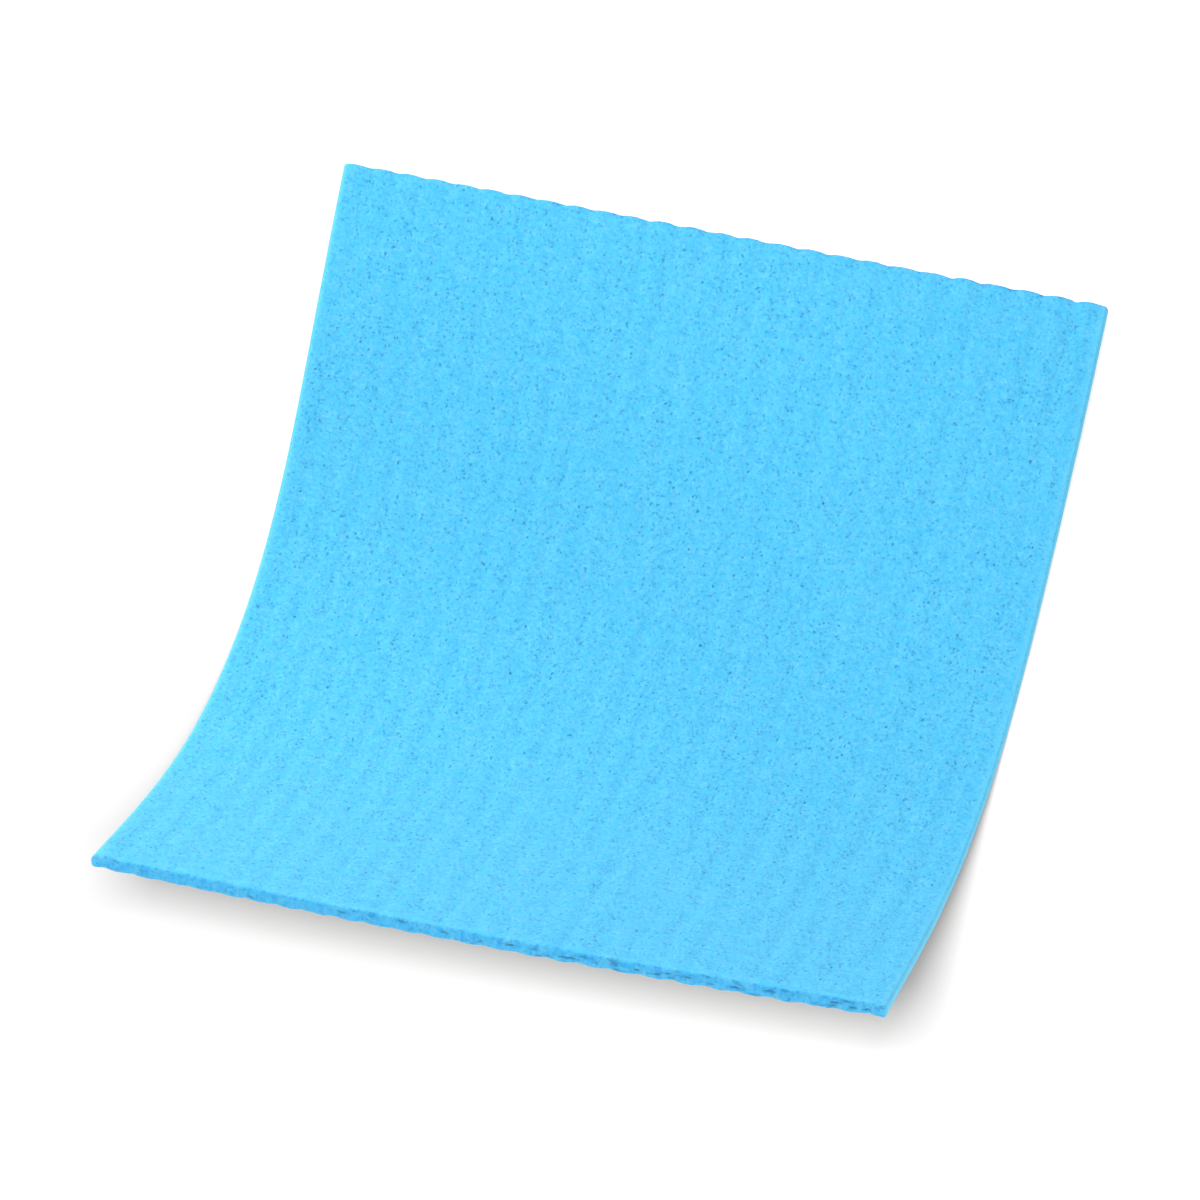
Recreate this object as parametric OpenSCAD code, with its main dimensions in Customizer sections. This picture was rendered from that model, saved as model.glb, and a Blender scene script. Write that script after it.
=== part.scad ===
// Sponge cloth: one rectangular sheet of cellulose sponge, ribbed along its
// length on both faces, dried into a curl so that it lies on its belly.
// The ribs run along Y. Dimensions are in millimetres and degrees.

/* [Sheet] */
// Width of the cloth, across its ribs
cloth_width = 170; // [100:1:260]
// Length of the cloth along its ribs, before it curled
cloth_length = 200; // [140:1:300]
// Thickness between the mean levels of the two faces
thickness = 2.8; // [1.5:0.1:8]
// Radius of the four corners, seen from above
corner_radius = 0.6; // [0.2:0.1:8]

/* [Ribs] */
// Mean distance from one rib to the next
rib_pitch = 6.5; // [4:0.1:12]
// Height of a rib's crest above the groove beside it
rib_height = 0.3; // [0.1:0.05:1.2]
// How much wider than the mean the last rib on the right is, as a share
rib_widening = 0.08; // [0:0.01:0.3]
// How far the underside's ribs lie beside the upper ones, as a share of a rib
rib_offset = 0.5; // [0:0.05:1]
// How far the end of each rib bulges out of the cut edge
rib_end_bulge = 0.4; // [0:0.05:1]

/* [Curl of the left edge] */
// How steeply the left edge runs down from its front corner
left_dip = 36; // [0:1:60]
// Angle through which the left edge curls up
left_bend = 63; // [0:1:110]
// Straight length in front of the left bend
left_lead = 15; // [0:1:50]
// Straight length behind the left bend
left_tail = 35; // [0:1:70]

/* [Curl of the right edge] */
// How steeply the right edge runs down from its front corner
right_dip = 32; // [0:1:60]
// Angle through which the right edge curls up
right_bend = 40; // [0:1:110]
// Straight length in front of the right bend
right_lead = 15; // [0:1:50]
// Straight length behind the right bend
right_tail = 60; // [0:1:70]

/* [Front edge] */
// How far the middle of the front edge sags below its corners
front_sag = 2.5; // [0:0.1:6]

/* [Hidden] */

cloth_colour = [0.37, 0.80, 0.98];

// Mesh: how finely each edge is walked, how many rows lie between the
// corners, and how many columns make up one rib.
walk_step = 1;
row_count = 22;
rib_columns = 4;

// The sag fades out over this share of the length.
sag_reach = 0.5;
// A corner's arc has a point at this share of its radius.
arc_point = 0.3;

rib_count = round(cloth_width / rib_pitch);
column_count = rib_count * rib_columns;

// Mean of abs(sin) over a rib, which puts the ribs' mean level at zero.
rib_mean = 2 / PI;

// ---- The curl of an edge -------------------------------------------------

function lerp(a, b, share) = a + (b - a) * share;
function ease(t) = let (c = max(0, min(1, t))) c * c * (3 - 2 * c);

// An edge is [dip, bend, lead, tail]. Its slope at a distance s along it:
function slope(edge, s) =
    let (bend_length = cloth_length - edge[2] - edge[3])
    edge[1] * ease((s - edge[2]) / bend_length) - edge[0];

// The edge walked in small steps, as [distance, slope, y, z].
function walk(edge) = [
    for (s = 0, y = 0, z = 0;
         s <= cloth_length + walk_step / 2;
         y = y + walk_step * cos(slope(edge, s + walk_step / 2)),
         z = z + walk_step * sin(slope(edge, s + walk_step / 2)),
         s = s + walk_step)
        [s, slope(edge, s), y, z]
];

// The lowest level of the cloth's underside along the walked edge.
function belly(points) = min([for (p = points) p[3] - thickness / 2 * cos(p[1])]);

// Tables of y and z by distance. Both edges are lined up at mid length, and
// the belly of each lies at zero, so that the cloth rests on the two.
function y_table(points) =
    let (middle = lookup(cloth_length / 2, [for (p = points) [p[0], p[2]]]))
    [for (p = points) [p[0], p[2] - middle]];
function z_table(points) =
    let (low = belly(points)) [for (p = points) [p[0], p[3] - low]];

left_edge = [left_dip, left_bend, left_lead, left_tail];
right_edge = [right_dip, right_bend, right_lead, right_tail];
left_points = walk(left_edge);
right_points = walk(right_edge);
left_y = y_table(left_points);
left_z = z_table(left_points);
right_y = y_table(right_points);
right_z = z_table(right_points);

// ---- The ribs ------------------------------------------------------------

// Height of a face at rib position n, where whole numbers are grooves.
function rib_wave(n) = abs(sin(180 * n)) - rib_mean;

// Share of the width at rib position n: the ribs widen from left to right.
function width_share(n) =
    let (share = n / rib_count) share * (1 + rib_widening * (share - 1));

// ---- The sheet -----------------------------------------------------------

// Distances of the rows of points from the front edge.
function rows() =
    let (inner = cloth_length - 2 * corner_radius)
    concat(
        [0, arc_point * corner_radius],
        [for (i = [0 : row_count]) corner_radius + inner * i / row_count],
        [cloth_length - arc_point * corner_radius, cloth_length]
    );

// How far the side edges are drawn in by the corner's arc.
function corner_inset(s) =
    let (d = corner_radius - min(s, cloth_length - s, corner_radius))
    corner_radius - sqrt(corner_radius * corner_radius - d * d);

// 1 at the back edge, -1 at the front edge and 0 between them.
function end_sign(s) = s == 0 ? -1 : s == cloth_length ? 1 : 0;

// A point of the upper face (side = 1) or of the underside (side = -1).
function cloth_point(n, s, side) =
    let (
        share = width_share(n),
        rib_n = side > 0 ? n : n + rib_offset,
        a = lerp(slope(left_edge, s), slope(right_edge, s), share),
        y = lerp(lookup(s, left_y), lookup(s, right_y), share),
        z = lerp(lookup(s, left_z), lookup(s, right_z), share),
        across_y = lookup(s, right_y) - lookup(s, left_y),
        across_z = lookup(s, right_z) - lookup(s, left_z),
        span = sqrt(pow(cloth_width, 2) - pow(across_y, 2) - pow(across_z, 2)),
        sag = front_sag * 4 * share * (1 - share)
            * pow(max(0, 1 - s / (sag_reach * cloth_length)), 2),
        offset = side * (thickness / 2 + rib_height * rib_wave(rib_n)),
        bulge = end_sign(s) * rib_end_bulge * rib_wave(rib_n)
    )
    [
        (share - 0.5) * (span - 2 * corner_inset(s)),
        y - offset * sin(a) + bulge * cos(a),
        z + offset * cos(a) + bulge * sin(a) - sag
    ];

function face_points(side) = [
    for (s = rows(), i = [0 : column_count]) cloth_point(i / rib_columns, s, side)
];

// The points moved so that the box around them stands centred on the origin.
function seated(points) =
    let (
        x_all = [for (p = points) p[0]],
        y_all = [for (p = points) p[1]],
        z_all = [for (p = points) p[2]],
        base = [
            (min(x_all) + max(x_all)) / 2,
            (min(y_all) + max(y_all)) / 2,
            min(z_all)
        ]
    )
    [for (p = points) p - base];

// Two triangles for the quad a, b, c, d, which runs clockwise from outside.
function quad(a, b, c, d) = [[a, b, c], [a, c, d]];

module sponge_cloth() {
    columns = column_count + 1;
    row_total = len(rows());
    under = columns * row_total;
    last_row = columns * (row_total - 1);

    upper_face = [
        for (j = [0 : row_total - 2], i = [0 : column_count - 1])
            let (p = j * columns + i)
            each quad(p, p + columns, p + columns + 1, p + 1)
    ];
    underside = [
        for (j = [0 : row_total - 2], i = [0 : column_count - 1])
            let (p = under + j * columns + i)
            each quad(p, p + 1, p + columns + 1, p + columns)
    ];
    front_and_back = [
        for (i = [0 : column_count - 1]) each concat(
            quad(i, i + 1, under + i + 1, under + i),
            quad(last_row + i, under + last_row + i,
                 under + last_row + i + 1, last_row + i + 1)
        )
    ];
    sides = [
        for (j = [0 : row_total - 2])
            let (l = j * columns, r = l + column_count)
            each concat(
                quad(l, under + l, under + l + columns, l + columns),
                quad(r, r + columns, under + r + columns, under + r)
            )
    ];

    color(cloth_colour)
    polyhedron(
        points = seated(concat(face_points(1), face_points(-1))),
        faces = concat(upper_face, underside, front_and_back, sides),
        convexity = 4
    );
}

sponge_cloth();
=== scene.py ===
import math

import bpy
import numpy as np
from mathutils import Matrix, Vector


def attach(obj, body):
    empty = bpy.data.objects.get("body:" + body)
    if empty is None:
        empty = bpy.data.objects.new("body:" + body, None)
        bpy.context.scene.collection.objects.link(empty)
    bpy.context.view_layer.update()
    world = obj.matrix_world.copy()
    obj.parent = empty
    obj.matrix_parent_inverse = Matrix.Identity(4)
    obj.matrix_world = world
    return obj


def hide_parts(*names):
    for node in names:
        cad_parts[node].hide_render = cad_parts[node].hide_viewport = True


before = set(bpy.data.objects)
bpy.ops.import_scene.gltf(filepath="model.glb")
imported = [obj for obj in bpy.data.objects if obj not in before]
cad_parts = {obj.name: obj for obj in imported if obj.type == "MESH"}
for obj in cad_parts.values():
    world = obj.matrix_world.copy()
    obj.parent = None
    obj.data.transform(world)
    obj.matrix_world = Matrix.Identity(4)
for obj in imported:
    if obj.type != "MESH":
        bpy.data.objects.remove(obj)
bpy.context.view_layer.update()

# ---- Camera ------------------------------------------------------------------
# A studio camera on a tall stand in front and to the right of the cloth. It
# looks steeply down and is rolled to the left, through a long lens.
camera_turn = math.radians(27.464)
camera_height = math.radians(56.43)
camera_roll = math.radians(-14.45)
camera_distance = 1.5326
camera_slide = Vector((0.00629, -0.01089))
camera_lens = 214.9
camera_sensor = 36.0

camera_back = Vector((
    math.sin(camera_turn) * math.cos(camera_height),
    -math.cos(camera_turn) * math.cos(camera_height),
    math.sin(camera_height),
))
level_right = Vector((math.cos(camera_turn), math.sin(camera_turn), 0.0))
level_up = camera_back.cross(level_right)
camera_right = math.cos(camera_roll) * level_right + math.sin(camera_roll) * level_up
camera_up = camera_back.cross(camera_right)
camera_place = (
    camera_distance * camera_back
    - camera_slide.x * camera_right
    - camera_slide.y * camera_up
)

camera_data = bpy.data.cameras.new("camera")
camera_data.lens = camera_lens
camera_data.sensor_width = camera_sensor
camera_data.clip_end = 100.0
camera = bpy.data.objects.new("camera", camera_data)
camera_axes = Matrix((camera_right, camera_up, camera_back)).transposed()
camera.matrix_world = Matrix.Translation(camera_place) @ camera_axes.to_4x4()
bpy.context.scene.collection.objects.link(camera)
bpy.context.scene.camera = camera

# ---- Sponge cloth ------------------------------------------------------------
# One rectangular sheet of dyed cellulose sponge, ribbed along its length on both
# faces. It is cut to size with a blade, which leaves soft rims and open pores in
# the cut faces, and it has dried into a curl that rests on its belly.
cloth_width = 0.170
cloth_length = 0.200
cloth_thickness = 0.0028
corner_radius = 0.0006

# How finely the flat sheet is divided: cells of the faces, and rings of the
# band that runs round the cut edge, as (inset from the edge, share of half of
# the thickness) from the upper face to the underside. The left edge is rounder
# than the others.
band_width = 0.0015
cells_across = 208
cells_along = 180
under_cell = 2
corner_columns = 4
left_rounding = 0.0013
right_rounding = 0.0005
rim_rings = (
    (0.00095, 1.0), (0.00050, 0.985), (0.00018, 0.90), (0.0, 0.70),
    (0.0, 0.42), (0.0, 0.14), (0.0, -0.14), (0.0, -0.42),
    (0.0, -0.70), (0.00018, -0.90), (0.00050, -0.985), (0.00095, -1.0),
)


def cut_flat_sheet():
    """The sheet as it is cut: x across, y from the front edge, z through it."""
    half = cloth_width / 2 - band_width
    far = cloth_length - band_width
    across = np.linspace(-half, half, cells_across + 1)
    along = np.linspace(band_width, far, cells_along + 1)
    points = []
    faces = []

    # Upper face and underside, as far as the band.
    def add_face(rows, side):
        first = len(points)
        wide = len(across)
        points.extend((x, y, side * cloth_thickness / 2) for y in rows for x in across)
        for j in range(len(rows) - 1):
            for i in range(wide - 1):
                a = first + j * wide + i
                cell = (a, a + 1, a + wide + 1, a + wide)
                faces.append(cell if side > 0 else cell[::-1])
        last = len(rows) - 1
        front = [first + i for i in range(wide)]
        right = [first + j * wide + wide - 1 for j in range(len(rows))]
        back = [first + last * wide + i for i in reversed(range(wide))]
        left = [first + j * wide for j in reversed(range(len(rows)))]
        return front, right, back, left

    upper = add_face(along, 1)
    under = add_face(along[::under_cell], -1)

    # The band's columns, walked round the sheet: two to each cell of the upper
    # face along the sides, and a fan at each corner.
    fine_across = np.linspace(-half, half, 2 * cells_across + 1)
    fine_along = np.linspace(band_width, far, 2 * cells_along + 1)
    sides = (
        ([(x, band_width) for x in fine_across], -90, (1, -1)),
        ([(half, y) for y in fine_along], 0, (1, 1)),
        ([(x, far) for x in reversed(fine_across)], 90, (-1, 1)),
        ([(-half, y) for y in reversed(fine_along)], 180, (-1, -1)),
    )
    columns = []
    starts = []
    for feet, heading, corner in sides:
        starts.append(len(columns))
        columns.extend((foot, heading, None) for foot in feet)
        for k in range(corner_columns + 1):
            columns.append((feet[-1], heading + 90 * k / corner_columns, corner))
    total = len(columns)

    rings = []
    for inset, share in rim_rings:
        rings.append(len(points))
        for (x, y), heading, corner in columns:
            turn = math.radians(heading)
            rounding = right_rounding if abs(heading) < 90 else left_rounding
            round_inset = rounding * (1 - math.sqrt(1 - share * share))
            radius_x = radius_y = band_width
            if corner:
                radius_x = max(corner_radius, round_inset + 0.0001)
                radius_y = max(corner_radius, inset + 0.0001)
                x += corner[0] * (band_width - radius_x)
                y += corner[1] * (band_width - radius_y)
            points.append((
                x + (radius_x - round_inset) * math.cos(turn),
                y + (radius_y - inset) * math.sin(turn),
                share * cloth_thickness / 2,
            ))
    for a, b in zip(rings[:-1], rings[1:]):
        for j in range(total):
            k = (j + 1) % total
            faces.append((a + j, b + j, b + k, a + k))

    # The faces are joined to the band's first and last ring.
    for edges, ring, side in ((upper, rings[0], 1), (under, rings[-1], -1)):
        for edge, start, (feet, _, _) in zip(edges, starts, sides):
            step = (len(feet) - 1) // (len(edge) - 1)
            for i in range(len(edge) - 1):
                run = [ring + start + i * step + k for k in range(step + 1)]
                cell = [edge[i + 1], edge[i], *run]
                faces.append(cell if side > 0 else cell[::-1])
            last = start + len(feet) - 1
            turn = [ring + (last + k) % total for k in range(corner_columns + 3)]
            fan = [edge[-1], *turn]
            faces.append(fan if side > 0 else fan[::-1])
    mesh = bpy.data.meshes.new("flat_sheet")
    mesh.from_pydata(points, [], faces)
    mesh.validate()
    return mesh


class Wire:
    """An output socket; arithmetic on it adds Math nodes to its tree."""

    def __init__(self, nodes, socket):
        self.nodes = nodes
        self.socket = socket

    def maths(self, operation, *others):
        """This value and the others through a Math node."""
        return self.nodes.maths(operation, self, *others)

    def __add__(self, other):
        return self.maths("ADD", other)

    def __sub__(self, other):
        return self.maths("SUBTRACT", other)

    def __rsub__(self, other):
        return self.nodes.maths("SUBTRACT", other, self)

    def __mul__(self, other):
        return self.maths("MULTIPLY", other)

    def __truediv__(self, other):
        return self.maths("DIVIDE", other)

    def __rtruediv__(self, other):
        return self.nodes.maths("DIVIDE", other, self)

    def __abs__(self):
        return self.maths("ABSOLUTE")

    __radd__ = __add__
    __rmul__ = __mul__

    def output(self, name):
        """Another output of the same node."""
        found = [s for s in self.socket.node.outputs if s.enabled and s.name == name]
        return Wire(self.nodes, found[0])

    def parts(self):
        """The x, y and z of a vector."""
        split = self.nodes.add("ShaderNodeSeparateXYZ", None, [self])
        return split, split.output("Y"), split.output("Z")


class Nodes:
    """A node tree whose nodes all come from one method."""

    def __init__(self, tree):
        self.tree = tree

    def add(self, kind, settings=None, values=()):
        """Adds a node: its type, its settings, and its inputs by name or in order."""
        node = self.tree.nodes.new(kind)
        for name, value in (settings or {}).items():
            setattr(node, name, value)
        sockets = [s for s in node.inputs if s.enabled]
        named = values.items() if isinstance(values, dict) else enumerate(values)
        for key, value in named:
            if isinstance(key, int):
                socket = sockets[key]
            else:
                socket = [s for s in sockets if s.name == key][0]
            if isinstance(value, Wire):
                self.tree.links.new(value.socket, socket)
            else:
                socket.default_value = value
        outputs = [s for s in node.outputs if s.enabled]
        return Wire(self, outputs[0]) if outputs else node

    def maths(self, operation, *values):
        return self.add("ShaderNodeMath", {"operation": operation}, values)

    def smooth(self, value, low, high):
        """0 below low and 1 above high, eased between them."""
        settings = {"interpolation_type": "SMOOTHSTEP"}
        return self.add("ShaderNodeMapRange", settings, [value, low, high, 0.0, 1.0])

    def vector(self, operation, *values):
        return self.add("ShaderNodeVectorMath", {"operation": operation}, values)

    def point(self, x, y, z):
        return self.add("ShaderNodeCombineXYZ", None, [x, y, z])


# The tree that turns the flat sheet into the cloth: it opens pores in the
# faces, makes the skin uneven, presses the ribs and curls the sheet.
cloth_sizes = {
    "Width": cloth_width,
    "Length": cloth_length,
    "Thickness": cloth_thickness,
    "Rib Count": 26.0,
    "Rib Height": 0.00025,
    "Rib Widening": 0.08,
    "Rib Offset": 0.5,
    "Rib End Bulge": 0.0004,
    "Left Dip": math.radians(36),
    "Left Bend": math.radians(63),
    "Left Lead": 0.015,
    "Left Tail": 0.035,
    "Right Dip": math.radians(32),
    "Right Bend": math.radians(40),
    "Right Lead": 0.015,
    "Right Tail": 0.060,
    "Front Sag": 0.0025,
    "Sag Reach": 0.100,
    "Pore Share": 0.052,
    "Pore Depth": 0.00028,
    "Unevenness": 0.00008,
    "Cut Roughness": 0.00022,
}
walk_steps = 200
pore_seed = 3

shaping = bpy.data.node_groups.new("ribs and curl", "GeometryNodeTree")
shaping.interface.new_socket("Geometry", in_out="INPUT", socket_type="NodeSocketGeometry")
shaping.interface.new_socket("Geometry", in_out="OUTPUT", socket_type="NodeSocketGeometry")
size_sockets = {}
for name in cloth_sizes:
    size_sockets[name] = shaping.interface.new_socket(
        name, in_out="INPUT", socket_type="NodeSocketFloat"
    )
material_socket = shaping.interface.new_socket(
    "Material", in_out="INPUT", socket_type="NodeSocketMaterial"
)

geo = Nodes(shaping)
given = geo.add("NodeGroupInput")
size = {name: given.output(name) for name in cloth_sizes}
position = geo.add("GeometryNodeInputPosition")
normal = geo.add("GeometryNodeInputNormal")
index = geo.add("GeometryNodeInputIndex")


def store(geometry, name, value, kind="FLOAT_VECTOR", where=None):
    values = {"Geometry": geometry, "Name": name, "Value": value}
    if where is not None:
        values["Selection"] = where
    settings = {"data_type": kind, "domain": "POINT"}
    return geo.add("GeometryNodeStoreNamedAttribute", settings, values)


def stored(name, kind="FLOAT_VECTOR"):
    return geo.add("GeometryNodeInputNamedAttribute", {"data_type": kind}, {"Name": name})


def chance(low, high, seed, kind="FLOAT"):
    values = {"Min": low, "Max": high, "Seed": seed}
    return geo.add("FunctionNodeRandomValue", {"data_type": kind}, values)


def noise(tree, place, scale, detail=2.0, roughness=0.5):
    """Soft noise from -1 to 1 at a place in metres."""
    values = {"Vector": place, "Scale": scale, "Detail": detail, "Roughness": roughness}
    settings = {"noise_dimensions": "3D"}
    return tree.add("ShaderNodeTexNoise", settings, values) * 2 - 1


# Which way the flat sheet's skin faces: up or down on its faces, and sideways
# on its cut edge.
skin = store(given, "out", normal)

# Open pores in both faces: cells picked at random are inset and pushed in.
face_x, face_y, _ = position.parts()
margin = 0.0024
inside = (
    abs(face_x).maths("LESS_THAN", size["Width"] / 2 - margin)
    * face_y.maths("GREATER_THAN", margin)
    * face_y.maths("LESS_THAN", size["Length"] - margin)
)
shake_across = 0.00020
shake_along = 0.00028
shake = chance(
    (-shake_across, -shake_along, 0.0), (shake_across, shake_along, 0.0), pore_seed, "FLOAT_VECTOR"
)
skin = geo.add("GeometryNodeSetPosition", None, {
    "Geometry": skin, "Selection": inside, "Offset": shake,
})
crowding = geo.smooth(noise(geo, position, 90.0, 1.0), -0.5, 0.7) * 1.4 + 0.3
picked = chance(0.0, 1.0, pore_seed + 1)
open_here = picked.maths("LESS_THAN", size["Pore Share"] * crowding) * inside
inset = geo.add("GeometryNodeExtrudeMesh", {"mode": "FACES"}, {
    "Mesh": skin, "Selection": open_here, "Offset Scale": 0.0, "Individual": True,
})
inset_top = inset.output("Top")
small_mouth = 0.30
large_mouth = 0.62
skin = geo.add("GeometryNodeScaleElements", {"domain": "FACE"}, {
    "Geometry": inset, "Selection": inset_top,
    "Scale": chance(small_mouth, large_mouth, pore_seed + 2),
})
shallow_share = 0.35
pit = geo.add("GeometryNodeExtrudeMesh", {"mode": "FACES"}, {
    "Mesh": skin, "Selection": inset_top, "Individual": True,
    "Offset Scale": chance(-1.0, -shallow_share, pore_seed + 3) * size["Pore Depth"],
})
pit_floor = pit.output("Top")
pit_taper = 0.6
skin = geo.add("GeometryNodeScaleElements", {"domain": "FACE"}, {
    "Geometry": pit, "Selection": pit_floor, "Scale": pit_taper,
})
slant = 0.00006
slanted = chance((-slant, -slant, 0.0), (slant, slant, 0.0), pore_seed + 4, "FLOAT_VECTOR")
skin = geo.add("GeometryNodeSetPosition", None, {
    "Geometry": skin, "Selection": pit_floor, "Offset": slanted,
})
skin = store(skin, "pore", 1.0, "FLOAT", pit_floor)
skin = store(skin, "flat", position)


def slits(tree, place):
    """1 inside the slits between a cut face's layers, which are denser to the right."""
    layered = tree.vector("MULTIPLY", place, (0.36, 0.36, 2.3))
    crowd = tree.smooth(place.parts()[0], -0.060, 0.060) * 0.14
    return tree.smooth(noise(tree, layered, 850.0, 1.0) + crowd, 0.28, 0.52)


# Uneven skin: shallow dents in the faces, drawn out along the ribs, and a torn
# grain with slits in the front and back faces.
flat = stored("flat")
out = stored("out")
on_cut = abs(out.parts()[1])
drawn_out = geo.vector("MULTIPLY", flat, (1.0, 0.45, 1.0))
dents = noise(geo, drawn_out, 160.0, 3.0, 0.6)
torn = noise(geo, flat, 900.0, 2.0, 0.6)
push = (
    dents * size["Unevenness"] * (1 - on_cut)
    + (torn * 0.5 - slits(geo, flat) * 2.0) * size["Cut Roughness"] * on_cut
)
skin = geo.add("GeometryNodeSetPosition", None, {
    "Geometry": skin, "Offset": geo.vector("SCALE", out, push),
})


# The side edges of the cloth, each walked in small steps along its curl.
def walked_edge(dip, bend, lead, tail):
    step = size["Length"] / walk_steps

    def slope(along):
        return geo.smooth(along, lead, size["Length"] - tail) * bend - dip

    middle = slope((index - 0.5) * step)
    stride = step * index.maths("MINIMUM", 1.0)
    stride_y = middle.maths("COSINE") * stride
    stride_z = middle.maths("SINE") * stride
    line = geo.add("GeometryNodeMeshLine", None, {"Count": walk_steps + 1})
    path = geo.add("GeometryNodeAccumulateField", {"data_type": "FLOAT_VECTOR"}, [
        geo.point(0.0, stride_y, stride_z),
    ])
    line = geo.add("GeometryNodeSetPosition", None, {"Geometry": line, "Position": path})
    curve = geo.add("GeometryNodeMeshToCurve", None, {"Mesh": line})
    slope_here = slope(index * step)
    height = position.parts()[2]
    under = height - size["Thickness"] / 2 * slope_here.maths("COSINE")
    belly = geo.add("GeometryNodeAttributeStatistic", None, {
        "Geometry": curve, "Attribute": under,
    }).output("Min")

    def at(share):
        found = geo.add("GeometryNodeSampleCurve", {"mode": "FACTOR", "use_all_curves": True}, {
            "Curves": curve, "Value": slope_here, "Factor": share,
        })
        return found, found.output("Position").parts()

    half_way = at(0.5)[1][1]

    def sampled(share):
        turn, (_, y, z) = at(share)
        return turn, y - half_way, z - belly

    return sampled


left_edge = walked_edge(
    size["Left Dip"], size["Left Bend"], size["Left Lead"], size["Left Tail"]
)
right_edge = walked_edge(
    size["Right Dip"], size["Right Bend"], size["Right Lead"], size["Right Tail"]
)

x, y, z = position.parts()
along = y.maths("MAXIMUM", 0.0).maths("MINIMUM", size["Length"])
beyond = y - along
share = x / size["Width"] + 0.5

# The rib at each place: the ribs widen from left to right.
slack = 1 - size["Rib Widening"]
root = slack * slack + size["Rib Widening"] * 4 * share
rib = share * 2 / (slack + root.maths("SQRT")) * size["Rib Count"]


def rib_wave(number):
    """Height of a face at a rib position, where whole numbers are grooves."""
    groove_softness = 0.03
    swing = (number * math.pi).maths("SINE")
    rounded = swing * swing + groove_softness
    return rounded.maths("SQRT") - 2 / math.pi


through = z / (size["Thickness"] / 2)
upper_wave = rib_wave(rib) * (through + 1) / 2
under_wave = rib_wave(rib + size["Rib Offset"]) * (1 - through) / 2
swell = noise(geo, geo.vector("MULTIPLY", flat, (1.0, 0.15, 0.0)), 90.0, 1.0) * 1.5 + 1
offset = z + size["Rib Height"] * (upper_wave - under_wave) * swell
end_reach = 0.003
back_strength = 1.35
near_back = geo.smooth(y, size["Length"] - end_reach, size["Length"]) * back_strength
near_front = 1 - geo.smooth(y, 0.0, end_reach)
near_front = near_front * (geo.smooth(share, 0.3, 0.9) * 0.5 + 0.5)
bulge = size["Rib End Bulge"] * (upper_wave + under_wave) * (near_back - near_front) * swell
skin = store(skin, "groove", 1 - geo.smooth(upper_wave, -0.45, -0.05), "FLOAT")

left_turn, left_y, left_z = left_edge(along / size["Length"])
right_turn, right_y, right_z = right_edge(along / size["Length"])
turn = left_turn + (right_turn - left_turn) * share
base_y = left_y + (right_y - left_y) * share
base_z = left_z + (right_z - left_z) * share
twist_y = right_y - left_y
twist_z = right_z - left_z
span = size["Width"] * size["Width"] - twist_y * twist_y - twist_z * twist_z
span = span.maths("SQRT")
sag_here = (1 - along / size["Sag Reach"]).maths("MAXIMUM", 0.0)
sag = size["Front Sag"] * 4 * share * (1 - share) * sag_here * sag_here
stretch = bulge + beyond
curled = geo.point(
    x * span / size["Width"],
    base_y - offset * turn.maths("SINE") + stretch * turn.maths("COSINE"),
    base_z + offset * turn.maths("COSINE") + stretch * turn.maths("SINE") - sag,
)
skin = geo.add("GeometryNodeSetPosition", None, {"Geometry": skin, "Position": curled})

# It is set down on the table, centred on the origin.
box = geo.add("GeometryNodeBoundBox", None, [skin])
low_x, low_y, low_z = box.output("Min").parts()
high_x, high_y, _ = box.output("Max").parts()
seat = geo.point((low_x + high_x) * -0.5, (low_y + high_y) * -0.5, low_z * -1)
skin = geo.add("GeometryNodeSetPosition", None, {"Geometry": skin, "Offset": seat})
skin = geo.add("GeometryNodeSetShadeSmooth", None, [skin])
skin = geo.add("GeometryNodeRealizeInstances", None, [skin])
skin = geo.add("GeometryNodeSetMaterial", None, {
    "Geometry": skin, "Material": given.output("Material"),
})
geo.add("NodeGroupOutput", None, [skin])

# The sponge: matt blue cellulose, paler in patches on its skin. Its side rims are paler, partly
# where the sponge is thin and partly with a painted highlight, and its side faces carry painted
# light. Its pores, slits and cut faces are deeper blue with painted shade.
sponge = bpy.data.materials.new("blue sponge")
sponge.use_nodes = True
sponge.node_tree.nodes.clear()
shade = Nodes(sponge.node_tree)

face_blue = (0.077, 0.612, 1.000, 1.0)
pore_shade_blue = (0.033, 0.330, 0.770, 1.0)
cut_shade_blue = (0.056, 0.545, 1.000, 1.0)
rim_blue = (0.160, 0.680, 1.000, 1.0)
side_lit_blue = (0.130, 0.690, 1.000, 1.0)
smudge_blue = (0.040, 0.440, 1.000, 1.0)
thrown_grey = (0.34, 0.33, 0.32, 1.0)
slit_shade_blue = (0.014, 0.190, 0.580, 1.0)


def attribute(name, output):
    return shade.add("ShaderNodeAttribute", {"attribute_name": name}).output(output)


def blend(factor, first, second):
    return shade.add("ShaderNodeMix", {"data_type": "RGBA"}, {
        "Factor": factor, "A": first, "B": second,
    })


def pores(place, scale, small, large, share):
    """Scattered round pores, some faint and some deep, with radii as shares of a cell."""
    cell = shade.add("ShaderNodeTexVoronoi", {"voronoi_dimensions": "3D"}, {
        "Vector": place, "Scale": scale,
    })
    pick, wide, deep = cell.output("Color").parts()
    radius = wide * (large - small) + small
    hole = 1 - shade.smooth(cell, radius * 0.4, radius)
    return hole * (deep * 0.8 + 0.2) * pick.maths("LESS_THAN", share)


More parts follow.
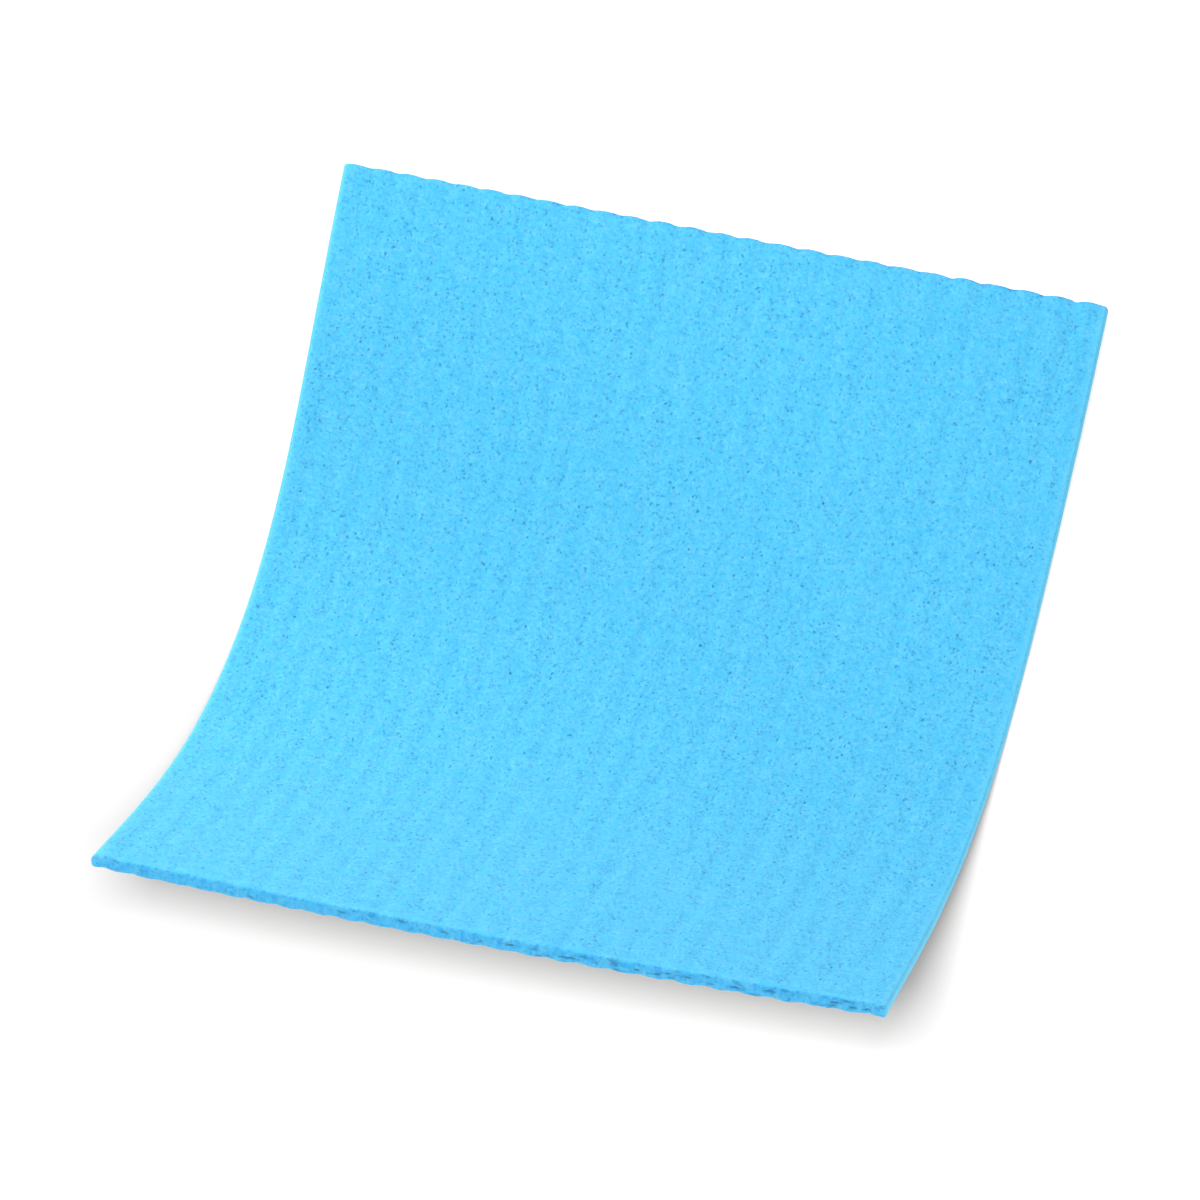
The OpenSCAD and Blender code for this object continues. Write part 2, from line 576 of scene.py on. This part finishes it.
flat_place = attribute("flat", "Vector")
skin_out = attribute("out", "Vector")
pit_floor_shade = attribute("pore", "Fac")
side_face, cut_face, _ = skin_out.parts()
side_face = abs(side_face)
cut_face = abs(cut_face)
wobble = shade.add("ShaderNodeTexNoise", None, {
    "Vector": flat_place, "Scale": 2600.0, "Detail": 2.0,
}).output("Color")
pore_bend = 0.0006
bent_place = shade.vector("MULTIPLY_ADD", wobble, (pore_bend, pore_bend, pore_bend), flat_place)
fine_pores = pores(bent_place, 1250.0, 0.30, 0.65, 0.75)
wide_pores = pores(bent_place, 600.0, 0.14, 0.30, 0.35)
specks = shade.smooth(noise(shade, flat_place, 1250.0, 3.0, 0.7), -0.10, 0.40)
fine_flecks = shade.smooth(noise(shade, flat_place, 2600.0, 2.0, 0.6), -0.15, 0.45)
mottle = noise(shade, flat_place, 330.0, 3.0, 0.6)
patches = noise(shade, flat_place, 700.0, 2.0, 0.6)
long_place = shade.vector("MULTIPLY", flat_place, (1.0, 0.12, 1.0))
streak = noise(shade, long_place, 320.0, 2.0)

# The cut faces are torn along their layers, with open pores, and deeper blue at each rib's groove;
# the cut faces, their pores and their slits are darkened with painted shade. The rims at the sides
# are paler, partly where the sponge is thin and partly with a painted highlight where the rounded
# rims catch light.
across, along_here, through_here = flat_place.parts()
near_rim = shade.smooth(abs(through_here), 0.0007, 0.0013)
side_rim = cloth_width / 2 - abs(across)
pale_lit_rim = 1 - shade.smooth(side_rim, 0.0002, 0.0024)
front_rim = 1 - shade.smooth(along_here, 0.0004, 0.0030)
slit_here = slits(shade, flat_place) * cut_face
groove = attribute("groove", "Fac")
smudge_place = shade.vector("MULTIPLY", flat_place, (1.0, 1.0, 0.35))
smudges = noise(shade, smudge_place, 500.0, 2.0) + groove * 0.35
smudges = shade.smooth(smudges, 0.0, 0.6) * cut_face
cut_pores = pores(bent_place, 1100.0, 0.35, 0.75, 0.7) * (near_rim * 0.5 + 0.4) * cut_face

skin_left = (1 - specks * 0.37) * (1 - fine_flecks * 0.28)
skin_left = skin_left * (1 - fine_pores * 0.76) * (1 - wide_pores * 0.6)
holes = (1 - skin_left) * (1 - pale_lit_rim * 0.6) * (1 - front_rim * 0.4)
tone = mottle * 0.42 + patches * 0.6 + streak * 0.12 + 0.37
# The front and back cut faces take a deeper blue: painted shade.
colour = blend(cut_face, face_blue, cut_shade_blue)
colour = blend(shade.smooth(tone, 0.0, 1.0), colour, rim_blue)
# The side rims are paler, partly where the sponge is thin and partly with a painted highlight on
# the rounded rims.
colour = blend(pale_lit_rim * 0.55, colour, rim_blue)
# The left and right cut faces are paler: painted light.
colour = blend(side_face * 0.8, colour, side_lit_blue)
colour = blend(smudges * 0.7, colour, smudge_blue)
# Slits and the pores of the cut faces are darkened: painted shade inside them.
colour = blend(slit_here * 0.45, colour, slit_shade_blue)
colour = blend(cut_pores, colour, slit_shade_blue)
# Pores and fine flecks of the faces, and the floors of the pits, are darkened: painted shade
# inside the holes.
colour = blend(holes, colour, pore_shade_blue)
colour = blend(pit_floor_shade * 0.4, colour, pore_shade_blue)

# The light that it throws onto the table is greyed, which keeps its shadow plain.
thrown = shade.add("ShaderNodeLightPath").output("Is Diffuse Ray")
colour = blend(thrown, colour, thrown_grey)

skin_roughness = 0.86
relief = mottle * 0.2 - holes - slit_here
bumps = shade.add("ShaderNodeBump", None, {
    "Strength": 0.6, "Distance": 0.0003, "Height": relief,
})
surface = shade.add("ShaderNodeBsdfPrincipled", None, {
    "Base Color": colour,
    "Roughness": skin_roughness + holes * 0.1,
    "Normal": bumps,
    "Specular IOR Level": 0.25,
    "Sheen Weight": 0.17,
    "Sheen Roughness": 0.5,
})
shade.add("ShaderNodeOutputMaterial", None, [surface])

cloth = bpy.data.objects.new("sponge_cloth_sheet", cut_flat_sheet())
bpy.context.scene.collection.objects.link(cloth)
curl = cloth.modifiers.new("ribs and curl", "NODES")
curl.node_group = shaping
for name, value in cloth_sizes.items():
    curl[size_sockets[name].identifier] = value
curl[material_socket.identifier] = sponge
bpy.context.view_layer.update()
settled = cloth.evaluated_get(bpy.context.evaluated_depsgraph_get())
cloth_mesh = bpy.data.meshes.new_from_object(settled)
cloth.modifiers.clear()
cloth.data = cloth_mesh
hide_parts("sponge_cloth")
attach(cloth, "root")

# ---- Studio ------------------------------------------------------------------
# A table top of white paper with a painted glow, faint in front of the cloth and strong behind it,
# with three softboxes on stands and pale walls all round.
floor_size = 8.0
floor_colour = (0.85, 0.85, 0.85, 1.0)

floor_mesh = bpy.data.meshes.new("floor")
edge = floor_size / 2
floor_mesh.from_pydata(
    [(-edge, -edge, 0), (edge, -edge, 0), (edge, edge, 0), (-edge, edge, 0)],
    [],
    [(0, 1, 2, 3)],
)
floor = bpy.data.objects.new("floor", floor_mesh)
bpy.context.scene.collection.objects.link(floor)


def seen_rays(nodes):
    """1 for the rays that see the background, also in a mirror or through glass."""
    ray = nodes.add("ShaderNodeLightPath")
    seen = ray.output("Is Camera Ray").maths("MAXIMUM", ray.output("Is Glossy Ray"))
    return seen.maths("MAXIMUM", ray.output("Is Transmission Ray"))


paper = bpy.data.materials.new("white paper")
paper.use_nodes = True
paper.node_tree.nodes.clear()
sheet = Nodes(paper.node_tree)
seen = seen_rays(sheet)
matt = sheet.add("ShaderNodeBsdfDiffuse", None, {"Color": floor_colour})
# The glow is seen by the camera only: faint in front of the cloth and strong behind it, a painted
# glow that washes out the cloth's shadow there.
near_glow = 0.03
far_glow = 0.58
behind = sheet.add("ShaderNodeTexCoord").output("Object").parts()[1]
behind = sheet.smooth(behind, -0.03, 0.05)
glow = sheet.add("ShaderNodeEmission", None, {
    "Color": seen * (behind * (far_glow - near_glow) + near_glow),
})
lit_paper = sheet.add("ShaderNodeAddShader", None, [matt, glow])
sheet.add("ShaderNodeOutputMaterial", None, [lit_paper])
floor.data.materials.append(paper)

room = bpy.data.worlds.new("studio")
room.use_nodes = True
room.node_tree.nodes.clear()
air = Nodes(room.node_tree)
room_light = 0.44
background = air.add("ShaderNodeBackground", None, {
    "Strength": seen_rays(air) * (1 - room_light) + room_light,
})
air.add("ShaderNodeOutputWorld", None, [background])
bpy.context.scene.world = room


def softbox(name, heading, distance, width, watts):
    """A square lamp in that direction from the cloth, turned to face it."""
    lamp = bpy.data.lights.new(name, "AREA")
    lamp.shape = "SQUARE"
    lamp.size = width
    lamp.energy = watts
    holder = bpy.data.objects.new(name, lamp)
    direction = Vector(heading).normalized()
    holder.location = direction * distance
    holder.rotation_euler = direction.to_track_quat("Z", "Y").to_euler()
    bpy.context.scene.collection.objects.link(holder)
    return holder


# The lamps are flagged, so that each lights either the table, where it casts the
# soft shadow under the cloth, or the cloth, whose own shading stays even.
for lamp, lit in (
    (softbox("table softbox", (0.15, -0.50, 0.90), 1.2, 0.46, 14.0), floor),
    (softbox("left softbox", (-0.50, 0.36, 0.80), 0.6, 0.9, 5.7), cloth),
    (softbox("front softbox", (0.66, -0.78, 0.14), 2.0, 1.0, 19.5), cloth),
):
    group = bpy.data.collections.new("lit by the " + lamp.name)
    group.objects.link(lit)
    lamp.light_linking.receiver_collection = group

bpy.context.scene.view_settings.view_transform = "Standard"
